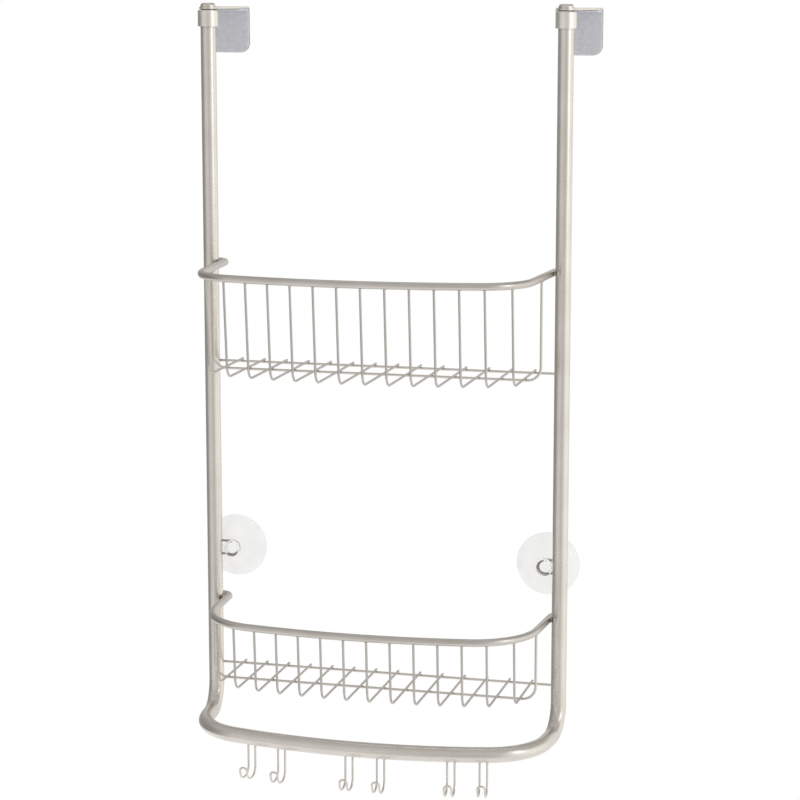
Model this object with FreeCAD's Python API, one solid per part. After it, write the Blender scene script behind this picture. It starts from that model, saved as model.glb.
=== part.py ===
import FreeCAD, Part
import math
import os

from FreeCAD import Vector

# Over-the-door shower caddy. Millimetres, +Z up, front towards -Y.
# Z = 0 is the top of the door that the two brackets rest on, Y = 0 is the plane of the
# two posts' axes and X = 0 is the middle of the width.

# --- driving dimensions -------------------------------------------------------------
weld_gap = 0.05            # space left where two welded rods meet, so that no pair overlaps
wire_end_gap = 0.12        # the same for the square-cut ends of the leaning cross wires

# tube frame
post_x = 149.05            # middle to the axis of each post
tube_r = 6.35
tube_wall = 1.2
bar_z = -588.8             # axis of the towel bar
bar_front = 92.0           # posts' plane to the bar's axis, at the middle
bar_bow_r = 455.0
bar_corner_r = 50.8
bar_fold_r = 23.2          # bend from each post into the level bar
bar_heading = 6.0          # degrees that the level legs turn inwards

# post tops
collar_top_z = 0.9
collar_h = 13.4
collar_r = 8.5
collar_cap = 2.0           # thickness of the collar's closed end
collar_clearance = 0.05
collar_chamfer = 0.8
insert_h = 16.0
insert_clearance = 0.05
screw_r = 2.5
screw_clearance = 0.05     # in the threaded insert
swivel_clearance = 0.08    # in the bracket's hole
screw_length = 14.0
head_r = 6.2
head_h = 3.4
head_edge_r = 2.4
recess_depth = 1.6
recess_w = 1.3
recess_span = 6.4
washer_r = 6.0
washer_h = 0.7

# hook brackets and their foam, measured from the screw's axis
plate_t = 1.5
tab_r = 7.2
plate_left = 13.0
plate_right = 22.5
plate_shoulder_y = 24.0    # where the tab has widened to the full plate
slot_back_y = 38.0         # face of the foam that meets the back of the door
flap_drop = 35.0           # door top down to the flap's lower edge
flap_corner_r = 8.0
bend_r = 2.6               # inside radius between plate and flap
pad_top_t = 1.6            # foam on the door's top edge
pad_flap_t = 2.0           # foam on the door's back
pad_front_y = 19.0
pad_inset = 0.2            # foam stops this far inside the metal's edges

# baskets: one entry per basket, top one first
basket_names = ("upper", "lower")
rim_z = (-207.7, -495.0)
rim_front = (109.2, 93.7)
rim_bow_r = (455.0, 555.0)
rim_corner_r = (42.0, 53.0)
floor_z = (-290.6, -552.8)     # axis of the long wires under the floor
mid_wire_y = (-30.5, -37.3)
wire_lean = (7.0, 3.5)         # bottom of each front wire behind its top
rim_r = 3.05
rim_splay = 3.7                # degrees that the arms close in towards the front
arm_back_y = 8.0               # the arms pass the posts and start to curl here
curl_r = 7.0
long_wire_r = 1.05
cross_wire_r = 0.95
cross_count = 14
cross_inset = 23.795           # outermost cross wires to the posts' axes
cross_bend_r = 10.0
cross_nub = 1.0                # cross wire past the back wire
mid_bend_r = 11.0
back_wire_past = 3.0           # back wire past each post's axis

# towel-bar hooks
hook_x = (-91.0, -64.0, -5.4, 21.0, 77.9, 103.6)
hook_wire_r = 0.85
hook_follow = 0.5              # share of the bar's bow that each hook's direction follows
hook_half_gap = 3.05           # leg axis to the hook's middle
hook_drop = 31.3               # bar's axis to the axis of the lowest bend
hook_reach = 16.0              # legs' axis to the tip's axis
hook_tip_rise = 10.6           # lowest bend to the top of the tip
hook_bend_r = 7.4
hook_tip_flare = 1.6           # the tip turns away from the legs
hook_tip_flat = 0.1            # straight length between the tip's two round corners

# suction cups and the wire clips that hold them
cup_z = -451.8
cup_r = 26.5
cup_rim_y = 19.0
cup_depth = 5.2                # hollow of the cup at its middle
cup_lip = 0.9
cup_shoulder_r = 8.2
cup_shoulder_h = 0.9
neck_r = 4.65
neck_clearance = 0.05
button_r = 6.9
button_gap = 0.3           # button to the side of the post
button_t = 4.5
button_edge_r = 1.2
clip_wire_r = 1.0
clip_past = 1.5                # clip legs past the post's axis

os.makedirs("parts", exist_ok=True)


def save(shape, node):
    if not shape.isValid() or shape.Volume <= 0:
        raise RuntimeError(node + " is not a valid solid")
    shape.exportStep("parts/" + node + ".step")


# --- paths and tubes ----------------------------------------------------------------
def line(a, b):
    return Part.LineSegment(a, b).toShape()


def arc(a, middle, b):
    return Part.Arc(a, middle, b).toShape()


def corner_points(before, corner, after, radius):
    """Start, middle and end of the round corner that joins two straight runs."""
    to_a = (before - corner).normalize()
    to_b = (after - corner).normalize()
    half = to_a.getAngle(to_b) / 2
    reach = radius / math.tan(half)
    bisector = (to_a + to_b).normalize()
    centre = corner + bisector * (radius / math.sin(half))
    return corner + to_a * reach, centre - bisector * radius, corner + to_b * reach


def rounded_edges(points, radii):
    """Straight runs through the points, with each inner corner rounded to its radius."""
    edges = []
    start = points[0]
    for before, corner, after, radius in zip(points, points[1:], points[2:], radii):
        a, middle, b = corner_points(before, corner, after, radius)
        edges += [line(start, a), arc(a, middle, b)]
        start = b
    edges.append(line(start, points[-1]))
    return edges


def rod(edges, radius):
    """Solid round bar along edges that run smoothly into each other."""
    path = Part.Wire(edges)
    first = edges[0]
    start = first.valueAt(first.FirstParameter)
    heading = first.tangentAt(first.FirstParameter)
    profile = Part.Wire(Part.makeCircle(radius, start, heading))
    return path.makePipeShell([profile], True, False)


def wire_rod(points, radii, radius):
    return rod(rounded_edges(points, radii), radius)


def flip_x(v):
    return Vector(-v.x, v.y, v.z)


# --- bowed front, shared by the towel bar and the basket rims -----------------------
class BowedFront:
    """Plan of a rod that runs forward from each side and bows out across the front."""

    def __init__(self, arm_x, closing_deg, front, bow_r, corner_r):
        closing = math.radians(closing_deg)
        self.bow_r = bow_r
        self.corner_r = corner_r
        self.ahead = Vector(-math.sin(closing), -math.cos(closing), 0)
        self.inward = Vector(-math.cos(closing), math.sin(closing), 0)
        self.origin = Vector(arm_x, 0, 0)
        self.bow_centre = Vector(0, bow_r - front, 0)
        self.front_point = Vector(0, -front, 0)
        offset = self.origin + self.inward * corner_r - self.bow_centre
        along = offset.dot(self.ahead)
        inner = (bow_r - corner_r) ** 2
        run = -along + math.sqrt(along ** 2 - offset.dot(offset) + inner)
        self.corner_centre = self.bow_centre + offset + self.ahead * run
        self.arm_end = self.origin + self.ahead * run
        out = (self.corner_centre - self.bow_centre).normalize()
        self.bow_end = self.bow_centre + out * bow_r
        mid_out = (self.arm_end + self.bow_end - self.corner_centre * 2).normalize()
        self.corner_middle = self.corner_centre + mid_out * corner_r

    def arm_at(self, y):
        return self.origin + self.ahead * (-y / math.cos(self.ahead.getAngle(Vector(0, -1, 0))))

    def y_at(self, x):
        """Front line's Y at a sideways place, on the bow or on a corner."""
        x = abs(x)
        centre, radius = self.bow_centre, self.bow_r
        if x > self.bow_end.x:
            centre, radius = self.corner_centre, self.corner_r
        return centre.y - math.sqrt(radius ** 2 - (x - centre.x) ** 2)

    def square_to(self, x):
        """Direction straight out of the front line at a sideways place."""
        return (Vector(x, self.y_at(x), 0) - self.bow_centre).normalize()

    def front_edges(self, z):
        up = Vector(0, 0, z)
        a, b, c = self.arm_end + up, self.corner_middle + up, self.bow_end + up
        left = [flip_x(p) for p in (c, b, a)]
        return [arc(a, b, c), arc(c, self.front_point + up, left[0]), arc(*left)]


# --- tube frame ---------------------------------------------------------------------
tube_top_z = collar_top_z - collar_cap
bar_plan = BowedFront(post_x, bar_heading, bar_front, bar_bow_r, bar_corner_r)


def frame_edges():
    up = Vector(0, 0, 1)
    centre = bar_plan.ahead * bar_fold_r + Vector(post_x, 0, bar_z + bar_fold_r)
    top = Vector(post_x, 0, tube_top_z)
    fold_start = Vector(post_x, 0, bar_z + bar_fold_r)
    fold_middle = centre - (bar_plan.ahead + up).normalize() * bar_fold_r
    fold_end = centre - up * bar_fold_r
    leg_end = bar_plan.arm_end + up * bar_z
    right = [line(top, fold_start), arc(fold_start, fold_middle, fold_end), line(fold_end, leg_end)]
    left = [
        line(flip_x(leg_end), flip_x(fold_end)),
        arc(flip_x(fold_end), flip_x(fold_middle), flip_x(fold_start)),
        line(flip_x(fold_start), flip_x(top)),
    ]
    return right + bar_plan.front_edges(bar_z) + left


def make_frame():
    edges = frame_edges()
    return rod(edges, tube_r).cut(rod(edges, tube_r - tube_wall))


# --- post tops ----------------------------------------------------------------------
plate_z = collar_top_z + washer_h


def make_collar(x):
    low = collar_top_z - collar_h
    body = Part.makeCylinder(collar_r, collar_h, Vector(x, 0, low))
    body = body.makeChamfer(collar_chamfer, [e for e in body.Edges if e.BoundBox.ZMin > low + 1])
    bore = Part.makeCylinder(tube_r + collar_clearance, collar_h - collar_cap, Vector(x, 0, low))
    hole = Part.makeCylinder(screw_r + swivel_clearance, collar_h, Vector(x, 0, low))
    return body.cut(bore).cut(hole)


def make_insert(x):
    low = tube_top_z - insert_h
    plug = Part.makeCylinder(tube_r - tube_wall - insert_clearance, insert_h, Vector(x, 0, low))
    return plug.cut(Part.makeCylinder(screw_r + screw_clearance, insert_h, Vector(x, 0, low)))


def make_washer(x):
    ring = Part.makeCylinder(washer_r, washer_h, Vector(x, 0, collar_top_z))
    return ring.cut(Part.makeCylinder(screw_r + swivel_clearance, washer_h, Vector(x, 0, collar_top_z)))


def make_screw(x):
    seat = plate_z + plate_t
    head = Part.makeCylinder(head_r, head_h, Vector(x, 0, seat))
    head = head.makeFillet(head_edge_r, [e for e in head.Edges if e.BoundBox.ZMin > seat + head_h / 2])
    shank = Part.makeCylinder(screw_r, screw_length, Vector(x, 0, seat - screw_length))
    screw = head.fuse(shank)
    floor = seat + head_h - recess_depth
    for size in ((recess_span, recess_w), (recess_w, recess_span)):
        corner = Vector(x - size[0] / 2, -size[1] / 2, floor)
        screw = screw.cut(Part.makeBox(size[0], size[1], recess_depth + 1, corner))
    return screw


# --- hook brackets ------------------------------------------------------------------
flap_front_y = slot_back_y + pad_flap_t
flap_back_y = flap_front_y + plate_t


def face_from(points):
    return Part.Face(Part.makePolygon(points + [points[0]]))


def bent_sheet(inner_y, low_z, top_z, thickness, radius, start_y, x0, x1):
    """Strip that runs back under top_z, bends down and hangs to low_z."""
    outer_r = radius + thickness
    back_y = inner_y + thickness
    centre = Vector(x0, back_y - outer_r, top_z - outer_r)
    diagonal = Vector(0, 1, 1).normalize()

    def at(y, z):
        return Vector(x0, y, z)

    edges = [
        line(at(start_y, top_z), at(centre.y, top_z)),
        arc(at(centre.y, top_z), centre + diagonal * outer_r, at(back_y, centre.z)),
        line(at(back_y, centre.z), at(back_y, low_z)),
        line(at(back_y, low_z), at(inner_y, low_z)),
        line(at(inner_y, low_z), at(inner_y, centre.z)),
        arc(at(inner_y, centre.z), centre + diagonal * radius, at(centre.y, top_z - thickness)),
        line(at(centre.y, top_z - thickness), at(start_y, top_z - thickness)),
        line(at(start_y, top_z - thickness), at(start_y, top_z)),
    ]
    return Part.Face(Part.Wire(edges)).extrude(Vector(x1 - x0, 0, 0))


def round_lower_corners(body, low_z, radius):
    """Rounds the two lower corners of a hanging flap."""
    corners = [e for e in body.Edges
               if e.BoundBox.ZLength < 1e-6 and e.BoundBox.XLength < 1e-6
               and abs(e.BoundBox.ZMin - low_z) < 1e-6]
    return body.makeFillet(radius, corners)


def make_bracket(x):
    top = plate_z + plate_t
    body = bent_sheet(flap_front_y, -flap_drop, top, plate_t, bend_r, plate_shoulder_y,
                      x - plate_left, x + plate_right)
    body = round_lower_corners(body, -flap_drop, flap_corner_r)
    tab = face_from([
        Vector(x - tab_r, 0, plate_z), Vector(x + tab_r, 0, plate_z),
        Vector(x + plate_right, plate_shoulder_y, plate_z),
        Vector(x - plate_left, plate_shoulder_y, plate_z),
    ]).extrude(Vector(0, 0, plate_t))
    body = body.fuse(tab).fuse(Part.makeCylinder(tab_r, plate_t, Vector(x, 0, plate_z)))
    hole = Part.makeCylinder(screw_r + swivel_clearance, plate_t, Vector(x, 0, plate_z))
    return body.cut(hole).removeSplitter()


def make_pad(x):
    """Foam lining under the plate and down the flap's inner face."""
    x0, x1 = x - plate_left + pad_inset, x + plate_right - pad_inset
    lining = Part.makeBox(x1 - x0, flap_front_y - pad_front_y, plate_z, Vector(x0, pad_front_y, 0))
    hanging = Part.makeBox(x1 - x0, pad_flap_t, flap_drop - pad_inset + plate_z,
                           Vector(x0, slot_back_y, -flap_drop + pad_inset))
    hanging = round_lower_corners(hanging, -flap_drop + pad_inset, flap_corner_r)
    pad = lining.fuse(hanging).removeSplitter()
    edge = [e for e in pad.Edges if e.BoundBox.XLength > 1 and e.BoundBox.YMin > flap_front_y - 1e-6
            and e.BoundBox.ZMin > plate_z - 1e-6]
    return pad.makeFillet(bend_r, edge)


# --- baskets ------------------------------------------------------------------------
arm_x = post_x - (tube_r + rim_r + weld_gap) / math.cos(math.radians(rim_splay))
back_wire_y = tube_r + long_wire_r + weld_gap
cross_pitch = 2 * (post_x - cross_inset) / (cross_count - 1)


def rim_plan(i):
    return BowedFront(arm_x, rim_splay, rim_front[i], rim_bow_r[i], rim_corner_r[i])


def make_rim(i):
    plan = rim_plan(i)
    up = Vector(0, 0, rim_z[i])
    curl_start = plan.arm_at(arm_back_y) + up
    centre = curl_start - plan.inward * curl_r
    curl_end = centre - plan.ahead * curl_r
    curl_middle = centre + (plan.inward - plan.ahead).normalize() * curl_r
    leg_end = plan.arm_end + up
    right = [arc(curl_end, curl_middle, curl_start), line(curl_start, leg_end)]
    left = [line(flip_x(leg_end), flip_x(curl_start)),
            arc(flip_x(curl_start), flip_x(curl_middle), flip_x(curl_end))]
    return rod(right + plan.front_edges(rim_z[i]) + left, rim_r)


def make_mid_wire(i):
    """Long wire under the floor whose ends rise to the rim's arms."""
    foot = rim_plan(i).arm_at(mid_wire_y[i])
    top = Vector(foot.x, foot.y, rim_z[i] - rim_r - weld_gap)
    low = Vector(foot.x, foot.y, floor_z[i])
    return wire_rod([top, low, flip_x(low), flip_x(top)], [mid_bend_r, mid_bend_r], long_wire_r)


def make_back_wire(i):
    end = Vector(post_x + back_wire_past, back_wire_y, floor_z[i])
    return rod([line(end, flip_x(end))], long_wire_r)


def make_cross_wire(i, number):
    """One L-shaped wire: down from the rim, round the front edge and back over the floor."""
    x = (number - (cross_count - 1) / 2) * cross_pitch
    front_y = rim_plan(i).y_at(x)
    level = floor_z[i] + long_wire_r + weld_gap + cross_wire_r
    top = Vector(x, front_y, rim_z[i] - rim_r - wire_end_gap)
    corner = Vector(x, front_y + wire_lean[i], level)
    end = Vector(x, back_wire_y + long_wire_r + cross_nub, level)
    return wire_rod([top, corner, end], [cross_bend_r], cross_wire_r)


# --- towel-bar hooks ----------------------------------------------------------------
def make_hook(x):
    """Doubled wire: two legs under the bar whose closed end curls up as the tip."""
    square = bar_plan.square_to(x)
    out = Vector(square.x * hook_follow, square.y, 0).normalize()
    side = Vector(-out.y, out.x, 0)
    base = Vector(x, bar_plan.y_at(x), bar_z)
    down = Vector(0, 0, -1)
    root = base + down * (tube_r + weld_gap)
    heel = base + down * hook_drop
    toe = heel + out * hook_reach
    tip = toe + out * hook_tip_flare - down * hook_tip_rise
    near = side * hook_half_gap
    points = [root + near, heel + near, toe + near, tip + near,
              tip - near, toe - near, heel - near, root - near]
    tip_r = hook_half_gap - hook_tip_flat / 2
    radii = [hook_bend_r, hook_bend_r, tip_r, tip_r, hook_bend_r, hook_bend_r]
    return wire_rod(points, radii, hook_wire_r)


# --- suction cups -------------------------------------------------------------------
clip_y = tube_r + clip_wire_r + weld_gap
loop_r = neck_r + neck_clearance + clip_wire_r
cup_x = post_x - tube_r - button_gap - button_r


def make_clip(side):
    """U-shaped wire behind the post, whose closed end holds the cup's neck."""
    centre = Vector(side * cup_x, clip_y, cup_z)
    leg = Vector(side * (post_x + clip_past - cup_x), 0, 0)
    rise = Vector(0, 0, loop_r)
    inner = Vector(-side * loop_r, 0, 0)
    edges = [line(centre + leg + rise, centre + rise),
             arc(centre + rise, centre + inner, centre - rise),
             line(centre - rise, centre + leg - rise)]
    return rod(edges, clip_wire_r)


def dome_arc(a, b):
    """Arc between two points of the XY plane whose centre is on the Y axis."""
    centre_y = (b.dot(b) - a.dot(a)) / (2 * (b.y - a.y))
    centre = Vector(0, centre_y, 0)
    middle = centre + (a + b - centre * 2).normalize() * (a - centre).Length
    return arc(a, middle, b)


def make_cup(side):
    """Clear cup turned about its own axis: button, neck and thin dished disc."""
    neck_front = clip_y - clip_wire_r - neck_clearance
    neck_back = clip_y + clip_wire_r + neck_clearance
    front = neck_front - button_t
    rim = cup_rim_y

    def at(radius, y):
        return Vector(radius, y, 0)

    corner = button_edge_r * (1 - math.sqrt(0.5))
    dish_y = rim - cup_depth
    shoulder = at(cup_shoulder_r, neck_back + cup_shoulder_h)
    lip = at(cup_r, rim - cup_lip)
    edges = [
        line(at(0, front), at(button_r - button_edge_r, front)),
        arc(at(button_r - button_edge_r, front), at(button_r - corner, front + corner),
            at(button_r, front + button_edge_r)),
        line(at(button_r, front + button_edge_r), at(button_r, neck_front)),
        line(at(button_r, neck_front), at(neck_r, neck_front)),
        line(at(neck_r, neck_front), at(neck_r, neck_back)),
        line(at(neck_r, neck_back), shoulder),
        dome_arc(shoulder, lip),
        line(lip, at(cup_r, rim)),
        dome_arc(at(cup_r, rim), at(0, dish_y)),
        line(at(0, dish_y), at(0, front)),
    ]
    half = Part.Face(Part.Wire(edges))
    body = half.revolve(Vector(0, 0, 0), Vector(0, 1, 0), 360)
    body.translate(Vector(side * cup_x, 0, cup_z))
    return body


# --- write every piece --------------------------------------------------------------
save(make_frame(), "main_frame")

for side, side_name in ((-1, "left"), (1, "right")):
    x = side * post_x
    save(make_collar(x), side_name + "_post_collar")
    save(make_insert(x), side_name + "_threaded_insert")
    save(make_washer(x), side_name + "_swivel_washer")
    save(make_screw(x), side_name + "_bracket_screw")
    save(make_bracket(x), side_name + "_hook_bracket")
    save(make_pad(x), side_name + "_bracket_pad")
    save(make_clip(side), side_name + "_cup_clip")
    save(make_cup(side), side_name + "_suction_cup")

for i, basket in enumerate(basket_names):
    save(make_rim(i), basket + "_basket_rim")
    save(make_mid_wire(i), basket + "_basket_mid_wire")
    save(make_back_wire(i), basket + "_basket_back_wire")
    for number in range(cross_count):
        save(make_cross_wire(i, number), basket + "_cross_wire_%02d" % (number + 1))

for number, x in enumerate(hook_x):
    save(make_hook(x), "towel_bar_hook_%d" % (number + 1))
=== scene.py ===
import math
import random

import bmesh
import bpy
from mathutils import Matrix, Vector, noise


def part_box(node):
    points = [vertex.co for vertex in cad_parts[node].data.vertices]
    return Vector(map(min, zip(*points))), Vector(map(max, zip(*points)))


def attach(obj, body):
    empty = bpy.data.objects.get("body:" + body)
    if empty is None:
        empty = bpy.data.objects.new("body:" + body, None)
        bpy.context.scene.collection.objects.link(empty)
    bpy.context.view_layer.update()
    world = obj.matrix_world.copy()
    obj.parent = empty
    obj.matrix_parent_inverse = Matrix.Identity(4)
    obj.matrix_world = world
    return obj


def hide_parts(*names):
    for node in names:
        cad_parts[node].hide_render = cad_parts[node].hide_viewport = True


# Satin-nickel over-the-door shower caddy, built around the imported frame.
# Metres, +Z up, front to -Y.
# The door's top edge is Z = 0, the posts' axes are in the plane Y = 0.

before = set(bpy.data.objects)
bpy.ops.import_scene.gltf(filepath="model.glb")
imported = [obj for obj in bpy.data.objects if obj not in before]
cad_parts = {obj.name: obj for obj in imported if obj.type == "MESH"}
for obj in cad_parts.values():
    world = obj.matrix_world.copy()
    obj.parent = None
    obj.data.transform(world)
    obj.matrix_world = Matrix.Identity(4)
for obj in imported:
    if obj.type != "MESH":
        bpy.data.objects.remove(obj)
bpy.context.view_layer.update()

MM = 0.001
SIDES = ("left", "right")
BASKETS = ("upper", "lower")
CROSS_WIRES = 14
BAR_HOOKS = 6


# --- camera -------------------------------------------------------------------------
CAMERA_AT = (0.5156, -1.9351, 0.0326)
CAMERA_YAW = 0.2539
CAMERA_PITCH = -0.1729
CAMERA_LENS = 110.7
CAMERA_SENSOR = 36
CAMERA_NEAR = 0.05
CAMERA_FAR = 2000


def add_camera():
    data = bpy.data.cameras.new("camera")
    data.lens = CAMERA_LENS
    data.sensor_width = CAMERA_SENSOR
    data.clip_start = CAMERA_NEAR
    data.clip_end = CAMERA_FAR
    camera = bpy.data.objects.new("camera", data)
    camera.location = CAMERA_AT
    camera.rotation_euler = (math.pi / 2 + CAMERA_PITCH, 0, CAMERA_YAW)
    bpy.context.scene.collection.objects.link(camera)
    bpy.context.scene.camera = camera


add_camera()
bpy.context.scene.view_settings.view_transform = "Standard"


# --- node helpers -------------------------------------------------------------------
class Nodes:
    """Short hand for one material's node tree."""

    def __init__(self, name):
        self.material = bpy.data.materials.new(name)
        self.material.use_nodes = True
        self.tree = self.material.node_tree
        self.shader = self.tree.nodes["Principled BSDF"]
        self.coords = self.tree.nodes.new("ShaderNodeTexCoord").outputs["Object"]

    def link(self, out, socket):
        self.tree.links.new(out, socket)

    def set(self, **values):
        for key, value in values.items():
            self.shader.inputs[key.replace("_", " ")].default_value = value

    def stretched(self, scale):
        node = self.tree.nodes.new("ShaderNodeMapping")
        node.inputs["Scale"].default_value = scale
        self.link(self.coords, node.inputs["Vector"])
        return node.outputs["Vector"]

    def noise(self, scale, detail=3.0, rough=0.5, stretch=None):
        node = self.tree.nodes.new("ShaderNodeTexNoise")
        node.inputs["Scale"].default_value = scale
        node.inputs["Detail"].default_value = detail
        node.inputs["Roughness"].default_value = rough
        self.link(self.stretched(stretch) if stretch else self.coords, node.inputs["Vector"])
        return node.outputs["Fac"]

    def cells(self, scale):
        node = self.tree.nodes.new("ShaderNodeTexVoronoi")
        node.inputs["Scale"].default_value = scale
        self.link(self.coords, node.inputs["Vector"])
        return node.outputs["Distance"]

    def waves(self, axis, scale, distortion):
        node = self.tree.nodes.new("ShaderNodeTexWave")
        node.bands_direction = axis
        node.inputs["Scale"].default_value = scale
        node.inputs["Distortion"].default_value = distortion
        node.inputs["Detail Scale"].default_value = 3
        self.link(self.coords, node.inputs["Vector"])
        return node.outputs["Fac"]

    def ramp(self, fac, low, high, low_at=0.3, high_at=0.7):
        node = self.tree.nodes.new("ShaderNodeValToRGB")
        first, last = node.color_ramp.elements
        first.position, last.position = low_at, high_at
        first.color = (*low, 1)
        last.color = (*high, 1)
        self.link(fac, node.inputs["Fac"])
        return node.outputs["Color"]

    def between(self, fac, low, high):
        node = self.tree.nodes.new("ShaderNodeMapRange")
        node.inputs["To Min"].default_value = low
        node.inputs["To Max"].default_value = high
        self.link(fac, node.inputs["Value"])
        return node.outputs["Result"]

    def darken(self, color, fac, tint):
        """Multiplies a colour by a tint where fac is high."""
        node = self.tree.nodes.new("ShaderNodeMix")
        node.data_type = "RGBA"
        node.blend_type = "MULTIPLY"
        self.link(fac, node.inputs["Factor"])
        self.link(color, node.inputs[6])
        node.inputs[7].default_value = (*tint, 1)
        return node.outputs[2]

    def corners(self, width):
        """Mask for painted shade: 0 on flat metal and up to 1 in grooves and against other
        pieces.
        """
        node = self.tree.nodes.new("ShaderNodeAmbientOcclusion")
        node.samples = 4
        node.inputs["Distance"].default_value = width
        flip = self.tree.nodes.new("ShaderNodeMath")
        flip.operation = "SUBTRACT"
        flip.inputs[0].default_value = 1
        self.link(node.outputs["AO"], flip.inputs[1])
        return flip.outputs["Value"]

    def bump(self, *layers):
        """Chains (height, strength, depth) layers into the normal."""
        normal = None
        for height, strength, depth in layers:
            node = self.tree.nodes.new("ShaderNodeBump")
            node.inputs["Strength"].default_value = strength
            node.inputs["Distance"].default_value = depth
            self.link(height, node.inputs["Height"])
            if normal is not None:
                self.link(normal, node.inputs["Normal"])
            normal = node.outputs["Normal"]
        self.link(normal, self.shader.inputs["Normal"])


# --- materials ----------------------------------------------------------------------
NICKEL = (0.64, 0.605, 0.56)
NICKEL_LIGHT = (0.70, 0.67, 0.63)
# Painted shade: tint that darkens the nickel in grooves and where it meets other pieces.
PAINTED_SHADE_TINT = (0.55, 0.52, 0.48)
PAINTED_SHADE_WIDTH = 2.5 * MM
ALONG_X = (0.06, 1, 1)       # scale that draws a texture out along X
AROUND = (0.3, 0.3, 3)       # scale that draws it out round a vertical post


# Painted light and shade: scales a colour by a level to make a lighter or darker copy.
def painted_light_tone(color, painted_light_level):
    return tuple(c * painted_light_level for c in color)


def satin_nickel(name, rough=0.30, drawn=(1, 1, 1), grain=1500, painted_light_level=1.0, relief=1.0):
    """Plated steel: cloudy satin tone, fine grain, and marks of drawing along the rod, with
    painted shade darkening grooves and joins and a level that makes a lighter or darker copy as
    painted light and shade.
    """
    m = Nodes(name)
    cloud = m.noise(38, 4)
    # Painted light and shade: the level lifts or lowers the whole tone of this copy.
    tone = m.ramp(cloud, painted_light_tone(NICKEL, painted_light_level), painted_light_tone(NICKEL_LIGHT, painted_light_level))
    # Painted shade: the tone is darkened in grooves and where pieces touch, from an occlusion
    # mask.
    painted_shade_tone = m.darken(tone, m.corners(PAINTED_SHADE_WIDTH), PAINTED_SHADE_TINT)
    m.link(painted_shade_tone, m.shader.inputs["Base Color"])
    fine = m.noise(grain, 2, 0.6)
    lines = m.noise(420, 3, 0.6, drawn)
    m.link(m.between(lines, rough - 0.05, rough + 0.06), m.shader.inputs["Roughness"])
    m.bump((fine, 0.10 * relief, 0.03 * MM), (lines, 0.12 * relief, 0.04 * MM))
    m.set(Metallic=1.0)
    return m.material


def gray_foam():
    m = Nodes("gray_foam")
    pores = m.cells(2100)
    knit = m.waves("X", 520, 1.2)
    mottle = m.noise(260, 5, 0.65)
    tone = m.ramp(mottle, (0.575, 0.582, 0.635), (0.695, 0.70, 0.755))
    m.link(tone, m.shader.inputs["Base Color"])
    m.link(m.between(pores, 0.78, 0.95), m.shader.inputs["Roughness"])
    m.bump((pores, 0.5, 0.12 * MM), (knit, 0.25, 0.06 * MM), (mottle, 0.3, 0.15 * MM))
    m.set(Sheen_Weight=0.25, Sheen_Roughness=0.5, Specular_IOR_Level=0.3)
    return m.material


def black_rubber(name):
    m = Nodes(name)
    grain = m.noise(1400, 3, 0.6)
    tone = m.ramp(grain, (0.018, 0.018, 0.019), (0.045, 0.044, 0.043))
    m.link(tone, m.shader.inputs["Base Color"])
    m.link(m.between(grain, 0.55, 0.8), m.shader.inputs["Roughness"])
    m.bump((grain, 0.3, 0.05 * MM))
    return m.material


def clear_vinyl():
    m = Nodes("clear_vinyl")
    haze = m.noise(90, 4)
    flow = m.noise(420, 2)
    tone = m.ramp(haze, (0.88, 0.872, 0.868), (0.93, 0.925, 0.92))
    m.link(tone, m.shader.inputs["Base Color"])
    m.link(m.between(flow, 0.05, 0.14), m.shader.inputs["Roughness"])
    m.bump((haze, 0.15, 0.25 * MM), (flow, 0.06, 0.08 * MM))
    m.set(Transmission_Weight=0.96, IOR=1.45, Specular_IOR_Level=0.5)
    return m.material


# The levels below make lighter and darker copies of one satin nickel: painted light and shade per
# part, not different metals.
tube_metal = satin_nickel("tube_nickel", 0.27, relief=0.06)
rod_metal = satin_nickel("rod_nickel", 0.29, ALONG_X, painted_light_level=0.84, relief=0.3)
wire_metal = satin_nickel("wire_nickel", 0.33, painted_light_level=0.76, relief=0.5)
long_metal = satin_nickel("long_wire_nickel", 0.33, painted_light_level=0.95, relief=0.5)
hook_metal = satin_nickel("hook_nickel", relief=0.3)
turned_metal = satin_nickel("turned_nickel", 0.27, AROUND, painted_light_level=1.15, relief=0.4)
sheet_metal = satin_nickel("sheet_nickel", 0.32, ALONG_X)
screw_metal = satin_nickel("screw_nickel", 0.22, grain=2400)
weld_metal = satin_nickel("weld_nickel", 0.36, grain=900)
foam = gray_foam()
rubber = black_rubber("black_rubber")
nylon = black_rubber("black_nylon")
vinyl = clear_vinyl()

# The first entry whose word is in a node's name gives its material; all others are thin wire.
NODE_METALS = (
    ("threaded_insert", nylon),
    ("swivel_washer", rubber),
    ("post_collar", turned_metal),
    ("bracket_screw", screw_metal),
    ("hook_bracket", sheet_metal),
    ("bracket_pad", foam),
    ("suction_cup", vinyl),
    ("basket_rim", rod_metal),
    ("main_frame", tube_metal),
    ("towel_bar_hook", hook_metal),
    ("basket_mid_wire", long_metal),
    ("basket_back_wire", long_metal),
)


def paint(obj, material):
    obj.data.materials.clear()
    obj.data.materials.append(material)


for node_name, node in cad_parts.items():
    chosen = [metal for part, metal in NODE_METALS if part in node_name]
    for slot in node.material_slots:
        slot.material = chosen[0] if chosen else wire_metal


# --- mesh helpers -------------------------------------------------------------------
def new_piece(name, bm, material, body):
    bmesh.ops.recalc_face_normals(bm, faces=bm.faces)
    mesh = bpy.data.meshes.new(name)
    bm.to_mesh(mesh)
    bm.free()
    mesh.shade_smooth()
    piece = bpy.data.objects.new(name, mesh)
    bpy.context.scene.collection.objects.link(piece)
    paint(piece, material)
    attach(piece, body)
    return piece


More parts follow.
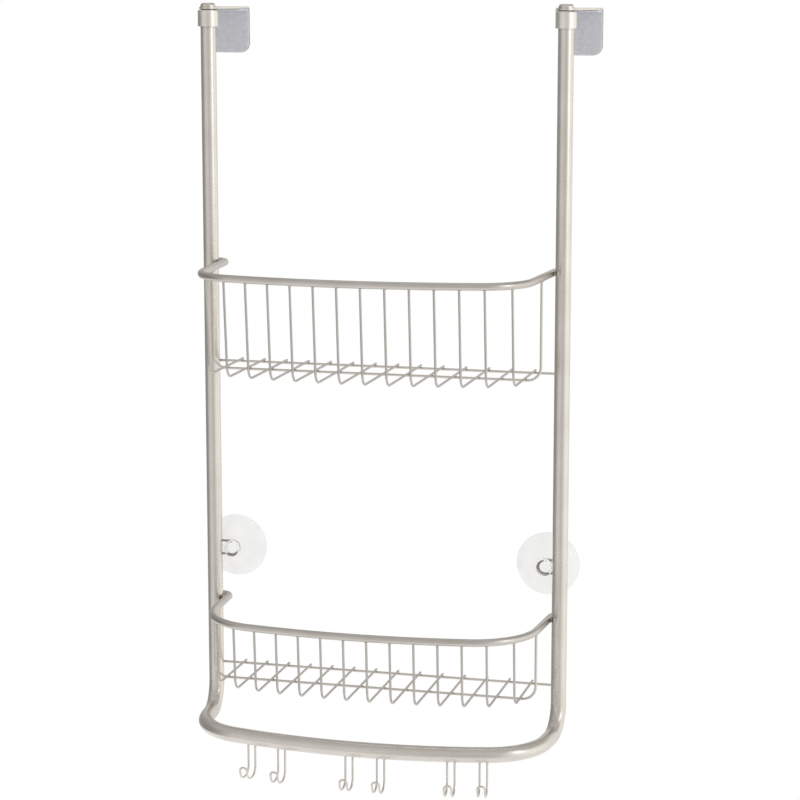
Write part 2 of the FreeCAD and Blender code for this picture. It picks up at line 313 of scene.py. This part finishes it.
def loft(bm, rows):
    """Skins rows of points that all have the same length; each row closes on itself."""
    made = [[bm.verts.new(p) for p in row] for row in rows]
    size = len(rows[0])
    for row, after in zip(made, made[1:]):
        for i in range(size):
            j = (i + 1) % size
            bm.faces.new((row[i], row[j], after[j], after[i]))
    return made


def arc_points(centre, radius, start_deg, end_deg, steps):
    """Points of a flat arc as (across, along) pairs."""
    out = []
    for i in range(steps + 1):
        angle = math.radians(start_deg + (end_deg - start_deg) * i / steps)
        out.append((centre[0] + radius * math.cos(angle), centre[1] + radius * math.sin(angle)))
    return out


# --- foam linings -------------------------------------------------------------------
PAD_STEPS = 56             # slices across the width
PAD_TOP_STEPS = 12
PAD_BEND_STEPS = 8
PAD_FLAP_STEPS = 28
PAD_END_STEPS = 6
PAD_EDGE = 0.06            # share of the half width over which the edge rounds off
PAD_CORNER = 8 * MM
PAD_BEND = 2.6 * MM
PAD_TOP_T = 1.6 * MM
PAD_FLAP_T = 2.0 * MM
PAD_SWELL = 0.06 * MM      # unevenness of the foam's face
PAD_SWELL_SCALE = 160
PAD_SEED = 7


def pad_path(lo, hi):
    """Middle line of the folded foam as (y, z, ny, nz, half thickness), from front to bottom."""
    top, flap = PAD_TOP_T / 2, PAD_FLAP_T / 2
    bend_y, bend_z = hi.y - PAD_BEND, hi.z - PAD_BEND
    path = []
    for i in range(PAD_TOP_STEPS + 1):
        y = lo.y + top + (bend_y - lo.y - top) * i / PAD_TOP_STEPS
        path.append((y, hi.z - top, 0, 1, top))
    for i in range(1, PAD_BEND_STEPS):
        angle = math.pi / 2 * (1 - i / PAD_BEND_STEPS)
        half = top + (flap - top) * i / PAD_BEND_STEPS
        radius = PAD_BEND - half
        ny, nz = math.cos(angle), math.sin(angle)
        path.append((bend_y + ny * radius, bend_z + nz * radius, ny, nz, half))
    for i in range(PAD_FLAP_STEPS + 1):
        z = bend_z + (lo.z + flap - bend_z) * i / PAD_FLAP_STEPS
        path.append((hi.y - flap, z, 1, 0, flap))
    return path


def pad_loop(path, squeeze):
    """Closed outline round the middle line, with half-round ends."""
    outer = [(y + ny * h * squeeze, z + nz * h * squeeze) for y, z, ny, nz, h in path]
    inner = [(y - ny * h * squeeze, z - nz * h * squeeze) for y, z, ny, nz, h in reversed(path)]
    turns = [math.pi * k / PAD_END_STEPS for k in range(1, PAD_END_STEPS)]
    y, z, _, _, h = path[-1]
    bottom = [(y + h * squeeze * math.cos(a), z - h * squeeze * math.sin(a)) for a in turns]
    y, z, _, _, h = path[0]
    front = [(y - h * squeeze * math.sin(a), z - h * squeeze * math.cos(a)) for a in turns]
    return outer + bottom + inner + front


def add_pad(side):
    lo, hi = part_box(side + "_bracket_pad")
    middle, half_w = (lo.x + hi.x) / 2, (hi.x - lo.x) / 2
    path = pad_path(lo, hi)
    rng = random.Random(PAD_SEED)
    drift = Vector((rng.random(), rng.random(), rng.random())) * 9
    bm = bmesh.new()
    rows = []
    for i in range(PAD_STEPS + 1):
        u = math.sin(math.pi / 2 * (2 * i / PAD_STEPS - 1))
        past = max(0.0, (abs(u) - (1 - PAD_EDGE)) / PAD_EDGE)
        squeeze = math.sqrt(max(0.0, 1 - past ** 2)) * 0.97 + 0.03
        row = []
        for y, z in pad_loop(path, squeeze):
            up = z - lo.z
            cut = 0.0
            if up < PAD_CORNER:
                cut = PAD_CORNER - math.sqrt(PAD_CORNER ** 2 - (PAD_CORNER - max(up, 0)) ** 2)
            x = middle + u * (half_w - cut)
            swell = noise.noise(Vector((x, y, z)) * PAD_SWELL_SCALE + drift) * PAD_SWELL
            row.append((x, y + swell, z + swell * 0.3))
        rows.append(row)
    made = loft(bm, rows)
    bm.faces.new(list(reversed(made[0])))
    bm.faces.new(made[-1])
    pad = new_piece(side + "_foam_lining", bm, foam, side + "_bracket")
    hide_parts(side + "_bracket_pad")


for side_name in SIDES:
    add_pad(side_name)


# --- suction cups -------------------------------------------------------------------
CUP_TURNS = 128
BUTTON_R = 6.9 * MM
BUTTON_T = 4.5 * MM
NECK_R = 4.65 * MM
NECK_T = 2.1 * MM
SHOULDER_R = 8.2 * MM
SHOULDER_H = 0.9 * MM
CUP_LIP = 0.9 * MM
CUP_DEPTH = 5.2 * MM        # of the hollow behind


def dome(r0, y0, r1, y1, steps):
    """Points between two radii on a sphere whose centre is on the cup's axis."""
    centre = (r1 ** 2 + y1 ** 2 - r0 ** 2 - y0 ** 2) / (2 * (y1 - y0))
    radius = math.hypot(r0, y0 - centre)
    out = []
    for i in range(steps + 1):
        r = r0 + (r1 - r0) * i / steps
        out.append((r, centre - math.sqrt(radius ** 2 - r ** 2)))
    return out


def cup_profile(depth, cup_r):
    """(radius, distance behind the button's face) from the face round to the hollow's middle."""
    neck_y = BUTTON_T
    shoulder_y = neck_y + NECK_T
    edge = 1.2 * MM
    small = 0.35 * MM
    dimple_r, dimple_t = 3.2 * MM, 0.45 * MM
    points = [(0, dimple_t), (dimple_r * 0.5, dimple_t * 0.92),
              (dimple_r * 0.85, dimple_t * 0.45), (dimple_r, 0)]
    points += arc_points((BUTTON_R - edge, edge), edge, -90, 0, 8)
    points += arc_points((BUTTON_R - small, neck_y - small), small, 0, 90, 4)
    points += arc_points((NECK_R + small, neck_y + small), small, -90, -180, 4)
    points += arc_points((NECK_R + small, shoulder_y - small), small, 180, 90, 4)
    points += arc_points((SHOULDER_R - 0.2 * MM, shoulder_y + 0.5 * MM), 0.5 * MM, -90, -20, 4)
    outer = dome(SHOULDER_R, shoulder_y + SHOULDER_H, cup_r, depth - CUP_LIP, 44)
    ring_at, ring_w, ring_h = 21.5 * MM, 0.8 * MM, 0.30 * MM
    for r, y in outer[1:-1]:
        step = ring_h * math.exp(-((r - ring_at) / ring_w) ** 2)
        points.append((r, y - step))
    lip = 0.42 * MM
    points += arc_points((cup_r - lip, depth - CUP_LIP + lip), lip, -60, 0, 5)
    points += arc_points((cup_r - lip, depth - lip), lip, 0, 90, 5)
    inner = dome(0, depth - CUP_DEPTH, cup_r - 2 * lip, depth, 36)
    points += [(r, y) for r, y in reversed(inner[:-1])]
    return points


def add_cup(side):
    lo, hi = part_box(side + "_suction_cup")
    middle_x, middle_z = (lo.x + hi.x) / 2, (lo.z + hi.z) / 2
    profile = cup_profile(hi.y - lo.y, (hi.x - lo.x) / 2)
    bm = bmesh.new()
    rows = []
    for r, y in profile[1:-1]:
        row = []
        for k in range(CUP_TURNS):
            angle = 2 * math.pi * k / CUP_TURNS
            row.append((middle_x + r * math.cos(angle), lo.y + y, middle_z + r * math.sin(angle)))
        rows.append(row)
    made = loft(bm, rows)
    for row, (_, y) in ((made[0], profile[0]), (made[-1], profile[-1])):
        tip = bm.verts.new((middle_x, lo.y + y, middle_z))
        for i in range(CUP_TURNS):
            bm.faces.new((row[i], row[(i + 1) % CUP_TURNS], tip))
    cup = new_piece(side + "_clear_cup", bm, vinyl, side + "_cup")
    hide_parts(side + "_suction_cup")


for side_name in SIDES:
    add_cup(side_name)


# --- welds --------------------------------------------------------------------------
POST_R = 6.35 * MM
# Half sizes of the beads in millimetres.
WIRE_TOP_BEAD = (1.25, 1.25, 0.55)
CROSSING_BEAD = (0.9, 0.9, 0.5)
LONG_WIRE_BEAD = (1.4, 1.4, 0.5)
RIM_END_BEAD = (0.9, 2.4, 2.4)
BACK_WIRE_BEAD = (1.6, 0.7, 1.1)
HOOK_LEG_BEAD = (1.1, 1.1, 0.7)
CLIP_BEAD = (2.2, 0.6, 1.0)
BEAD_LUMP = 0.22
BEAD_LUMP_SCALE = 1.7


def add_bead(bm, centre, radii, rng):
    """One small melted bead: a lumpy rounded blob that bridges two rods."""
    made = bmesh.ops.create_icosphere(bm, subdivisions=3, radius=1)
    drift = Vector((rng.random(), rng.random(), rng.random())) * 50
    for v in made["verts"]:
        lump = 1 + BEAD_LUMP * noise.noise(v.co * BEAD_LUMP_SCALE + drift)
        v.co = Vector((v.co.x * radii[0], v.co.y * radii[1], v.co.z * radii[2])) * lump + centre


def add_welds(name, beads):
    bm = bmesh.new()
    rng = random.Random(name)
    for centre, radii in beads:
        add_bead(bm, Vector(centre), [r * MM for r in radii], rng)
    new_piece(name, bm, weld_metal, "frame")


def centre_of(node):
    lo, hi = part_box(node)
    return (lo + hi) / 2


def basket_beads(basket):
    beads = []
    mid_lo, mid_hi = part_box(basket + "_basket_mid_wire")
    back_lo, back_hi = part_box(basket + "_basket_back_wire")
    rim_lo, rim_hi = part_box(basket + "_basket_rim")
    mid_y = (mid_lo.y + mid_hi.y) / 2
    back_y = (back_lo.y + back_hi.y) / 2
    long_r = (back_hi.y - back_lo.y) / 2
    for number in range(1, CROSS_WIRES + 1):
        lo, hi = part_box("%s_cross_wire_%02d" % (basket, number))
        x = (lo.x + hi.x) / 2
        wire_r = (hi.x - lo.x) / 2
        beads.append(((x, lo.y + wire_r, hi.z), WIRE_TOP_BEAD))
        beads.append(((x, mid_y, lo.z), CROSSING_BEAD))
        beads.append(((x, back_y, lo.z), CROSSING_BEAD))
    rim_z = (rim_lo.z + rim_hi.z) / 2
    for sign in (-1, 1):
        end_x = sign * (mid_hi.x - long_r)
        beads.append(((end_x, mid_y, mid_hi.z), LONG_WIRE_BEAD))
        post = centre_of(SIDES[(sign + 1) // 2] + "_post_collar")
        beads.append(((post.x - sign * POST_R, 0, rim_z), RIM_END_BEAD))
        beads.append(((post.x, POST_R, (back_lo.z + back_hi.z) / 2), BACK_WIRE_BEAD))
    return beads


def bar_hook_legs(node, top_z):
    """Centres of the two wire ends at the top of a hook, from its mesh."""
    near_top = [v.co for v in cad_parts[node].data.vertices if v.co.z > top_z - 0.3 * MM]
    middle_x = sum(v.x for v in near_top) / len(near_top)
    legs = []
    for sign in (-1, 1):
        part = [v for v in near_top if (v.x - middle_x) * sign > 0]
        legs.append(sum(part, Vector()) / len(part))
    return legs


def hook_beads():
    beads = []
    for number in range(1, BAR_HOOKS + 1):
        node = "towel_bar_hook_%d" % number
        top_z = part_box(node)[1].z
        for leg in bar_hook_legs(node, top_z):
            beads.append(((leg.x, leg.y, top_z), HOOK_LEG_BEAD))
    return beads


def clip_beads():
    beads = []
    for side in SIDES:
        lo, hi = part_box(side + "_cup_clip")
        post = centre_of(side + "_post_collar")
        wire_r = (hi.y - lo.y) / 2
        for z in (lo.z + wire_r, hi.z - wire_r):
            beads.append(((post.x, lo.y + 0.1 * MM, z), CLIP_BEAD))
    return beads


for basket_name in BASKETS:
    add_welds(basket_name + "_basket_welds", basket_beads(basket_name))
add_welds("towel_bar_hook_welds", hook_beads())
add_welds("cup_clip_welds", clip_beads())


# --- studio -------------------------------------------------------------------------
FLOOR_Z = -1.9             # the door's top is 1.9 m above the floor
FLOOR_HALF = 3
FLOOR_GLOW = 0.45          # keeps the floor as pale as the backdrop


def add_floor():
    m = Nodes("pale_floor")
    tone = m.ramp(m.noise(0.6, 2), (0.86, 0.86, 0.86), (0.90, 0.90, 0.90))
    m.link(tone, m.shader.inputs["Base Color"])
    m.set(Roughness=0.9, Specular_IOR_Level=0.0,
          Emission_Color=(1, 1, 1, 1), Emission_Strength=FLOOR_GLOW)
    m.material.cycles.emission_sampling = "NONE"
    mesh = bpy.data.meshes.new("floor")
    corners = [(-FLOOR_HALF, -FLOOR_HALF, FLOOR_Z), (FLOOR_HALF, -FLOOR_HALF, FLOOR_Z),
               (FLOOR_HALF, FLOOR_HALF, FLOOR_Z), (-FLOOR_HALF, FLOOR_HALF, FLOOR_Z)]
    mesh.from_pydata(corners, [], [(0, 1, 2, 3)])
    floor = bpy.data.objects.new("floor", mesh)
    bpy.context.scene.collection.objects.link(floor)
    paint(floor, m.material)


LIGHT_AIM = (0, 0, -0.3)


def add_softbox(name, azimuth, height, distance, size, power):
    """Rectangular light round the object; azimuth 0 is in front and 90 to the right."""
    data = bpy.data.lights.new(name, "AREA")
    data.shape = "RECTANGLE"
    data.size, data.size_y = size
    data.energy = power
    light = bpy.data.objects.new(name, data)
    a = math.radians(azimuth)
    at = Vector((math.sin(a) * distance, -math.cos(a) * distance, height))
    light.location = at
    light.rotation_euler = (at - Vector(LIGHT_AIM)).to_track_quat("Z", "Y").to_euler()
    bpy.context.scene.collection.objects.link(light)


# Brightness of the room by direction, as (degrees, level).
ROUND_LEVELS = (           # round the horizon from the camera's side, to the right
    (-180, 0.72), (-150, 0.42), (-115, 0.32), (-88, 0.40), (-60, 0.80), (-30, 0.84),
    (0, 0.64), (14, 0.68), (32, 0.95), (60, 1.22), (95, 1.22), (140, 0.98), (180, 0.72),
)
OVER_LEVELS = (            # from straight down (-90), up the front to overhead, down the back
    (-180, 0.60), (-110, 0.80), (-84, 0.78), (-54, 0.80), (-25, 0.88), (5, 0.84),
    (40, 0.72), (68, 0.64), (90, 0.60), (118, 0.60), (140, 0.46), (180, 0.60),
)
ROOM_SCALE = 0.5           # a colour ramp holds levels up to 1
STEEP_FROM, STEEP_TO = 0.28, 0.60  # upward share at which the second table takes over
WARM = (1, 0.985, 0.96)


def add_world():
    """White backdrop with reflections bright on the right, gray in front, dim behind left."""
    world = bpy.data.worlds.new("studio")
    bpy.context.scene.world = world
    world.use_nodes = True
    tree = world.node_tree

    def node(kind, *inputs, **settings):
        made = tree.nodes.new(kind)
        for key, value in settings.items():
            setattr(made, key, value)
        for i, value in enumerate(inputs):
            if isinstance(value, bpy.types.NodeSocket):
                tree.links.new(value, made.inputs[i])
            elif value is not None:
                made.inputs[i].default_value = value
        return made

    def levels_by_angle(opposite, adjacent, levels):
        angle = node("ShaderNodeMath", opposite, adjacent, operation="ARCTAN2").outputs[0]
        place = node("ShaderNodeMapRange", angle, -math.pi, math.pi).outputs[0]
        ramp = node("ShaderNodeValToRGB", place)
        stops = ramp.color_ramp.elements
        for _ in levels[2:]:
            stops.new(0.5)
        for stop, (degrees, level) in zip(stops, levels):
            stop.position = degrees / 360 + 0.5
            stop.color = (*(c * level * ROOM_SCALE for c in WARM), 1)
        return ramp.outputs["Color"]

    def blend(fac, first, second):
        made = node("ShaderNodeMix", fac, data_type="RGBA")
        tree.links.new(first, made.inputs[6])
        if isinstance(second, tuple):
            made.inputs[7].default_value = second
        else:
            tree.links.new(second, made.inputs[7])
        return made.outputs[2]

    generated = node("ShaderNodeTexCoord").outputs["Generated"]
    turned = node("ShaderNodeVectorRotate", generated, rotation_type="Z_AXIS")
    turned.inputs["Angle"].default_value = -CAMERA_YAW
    x, y, z = node("ShaderNodeSeparateXYZ", turned.outputs["Vector"]).outputs
    front = node("ShaderNodeMath", y, -1.0, operation="MULTIPLY").outputs[0]
    steep = node("ShaderNodeMath", z, operation="ABSOLUTE").outputs[0]
    level_round = levels_by_angle(x, front, ROUND_LEVELS)
    level_over = levels_by_angle(z, front, OVER_LEVELS)
    upward = node("ShaderNodeMapRange", steep, STEEP_FROM, STEEP_TO,
                  interpolation_type="SMOOTHSTEP").outputs[0]
    room = blend(upward, level_round, level_over)
    path = node("ShaderNodeLightPath").outputs
    straight = node("ShaderNodeMath", path["Is Camera Ray"], path["Is Transmission Ray"],
                    operation="MAXIMUM").outputs[0]
    shown = blend(straight, room, (ROOM_SCALE, ROOM_SCALE, ROOM_SCALE, 1))
    background = tree.nodes["Background"]
    tree.links.new(shown, background.inputs["Color"])
    background.inputs["Strength"].default_value = 1 / ROOM_SCALE


add_floor()
add_world()
add_softbox("key_softbox", azimuth=68, height=0.25, distance=1.7, size=(0.5, 1.1), power=2.2)
add_softbox("top_softbox", azimuth=185, height=1.9, distance=0.5, size=(1.6, 0.6), power=1.6)
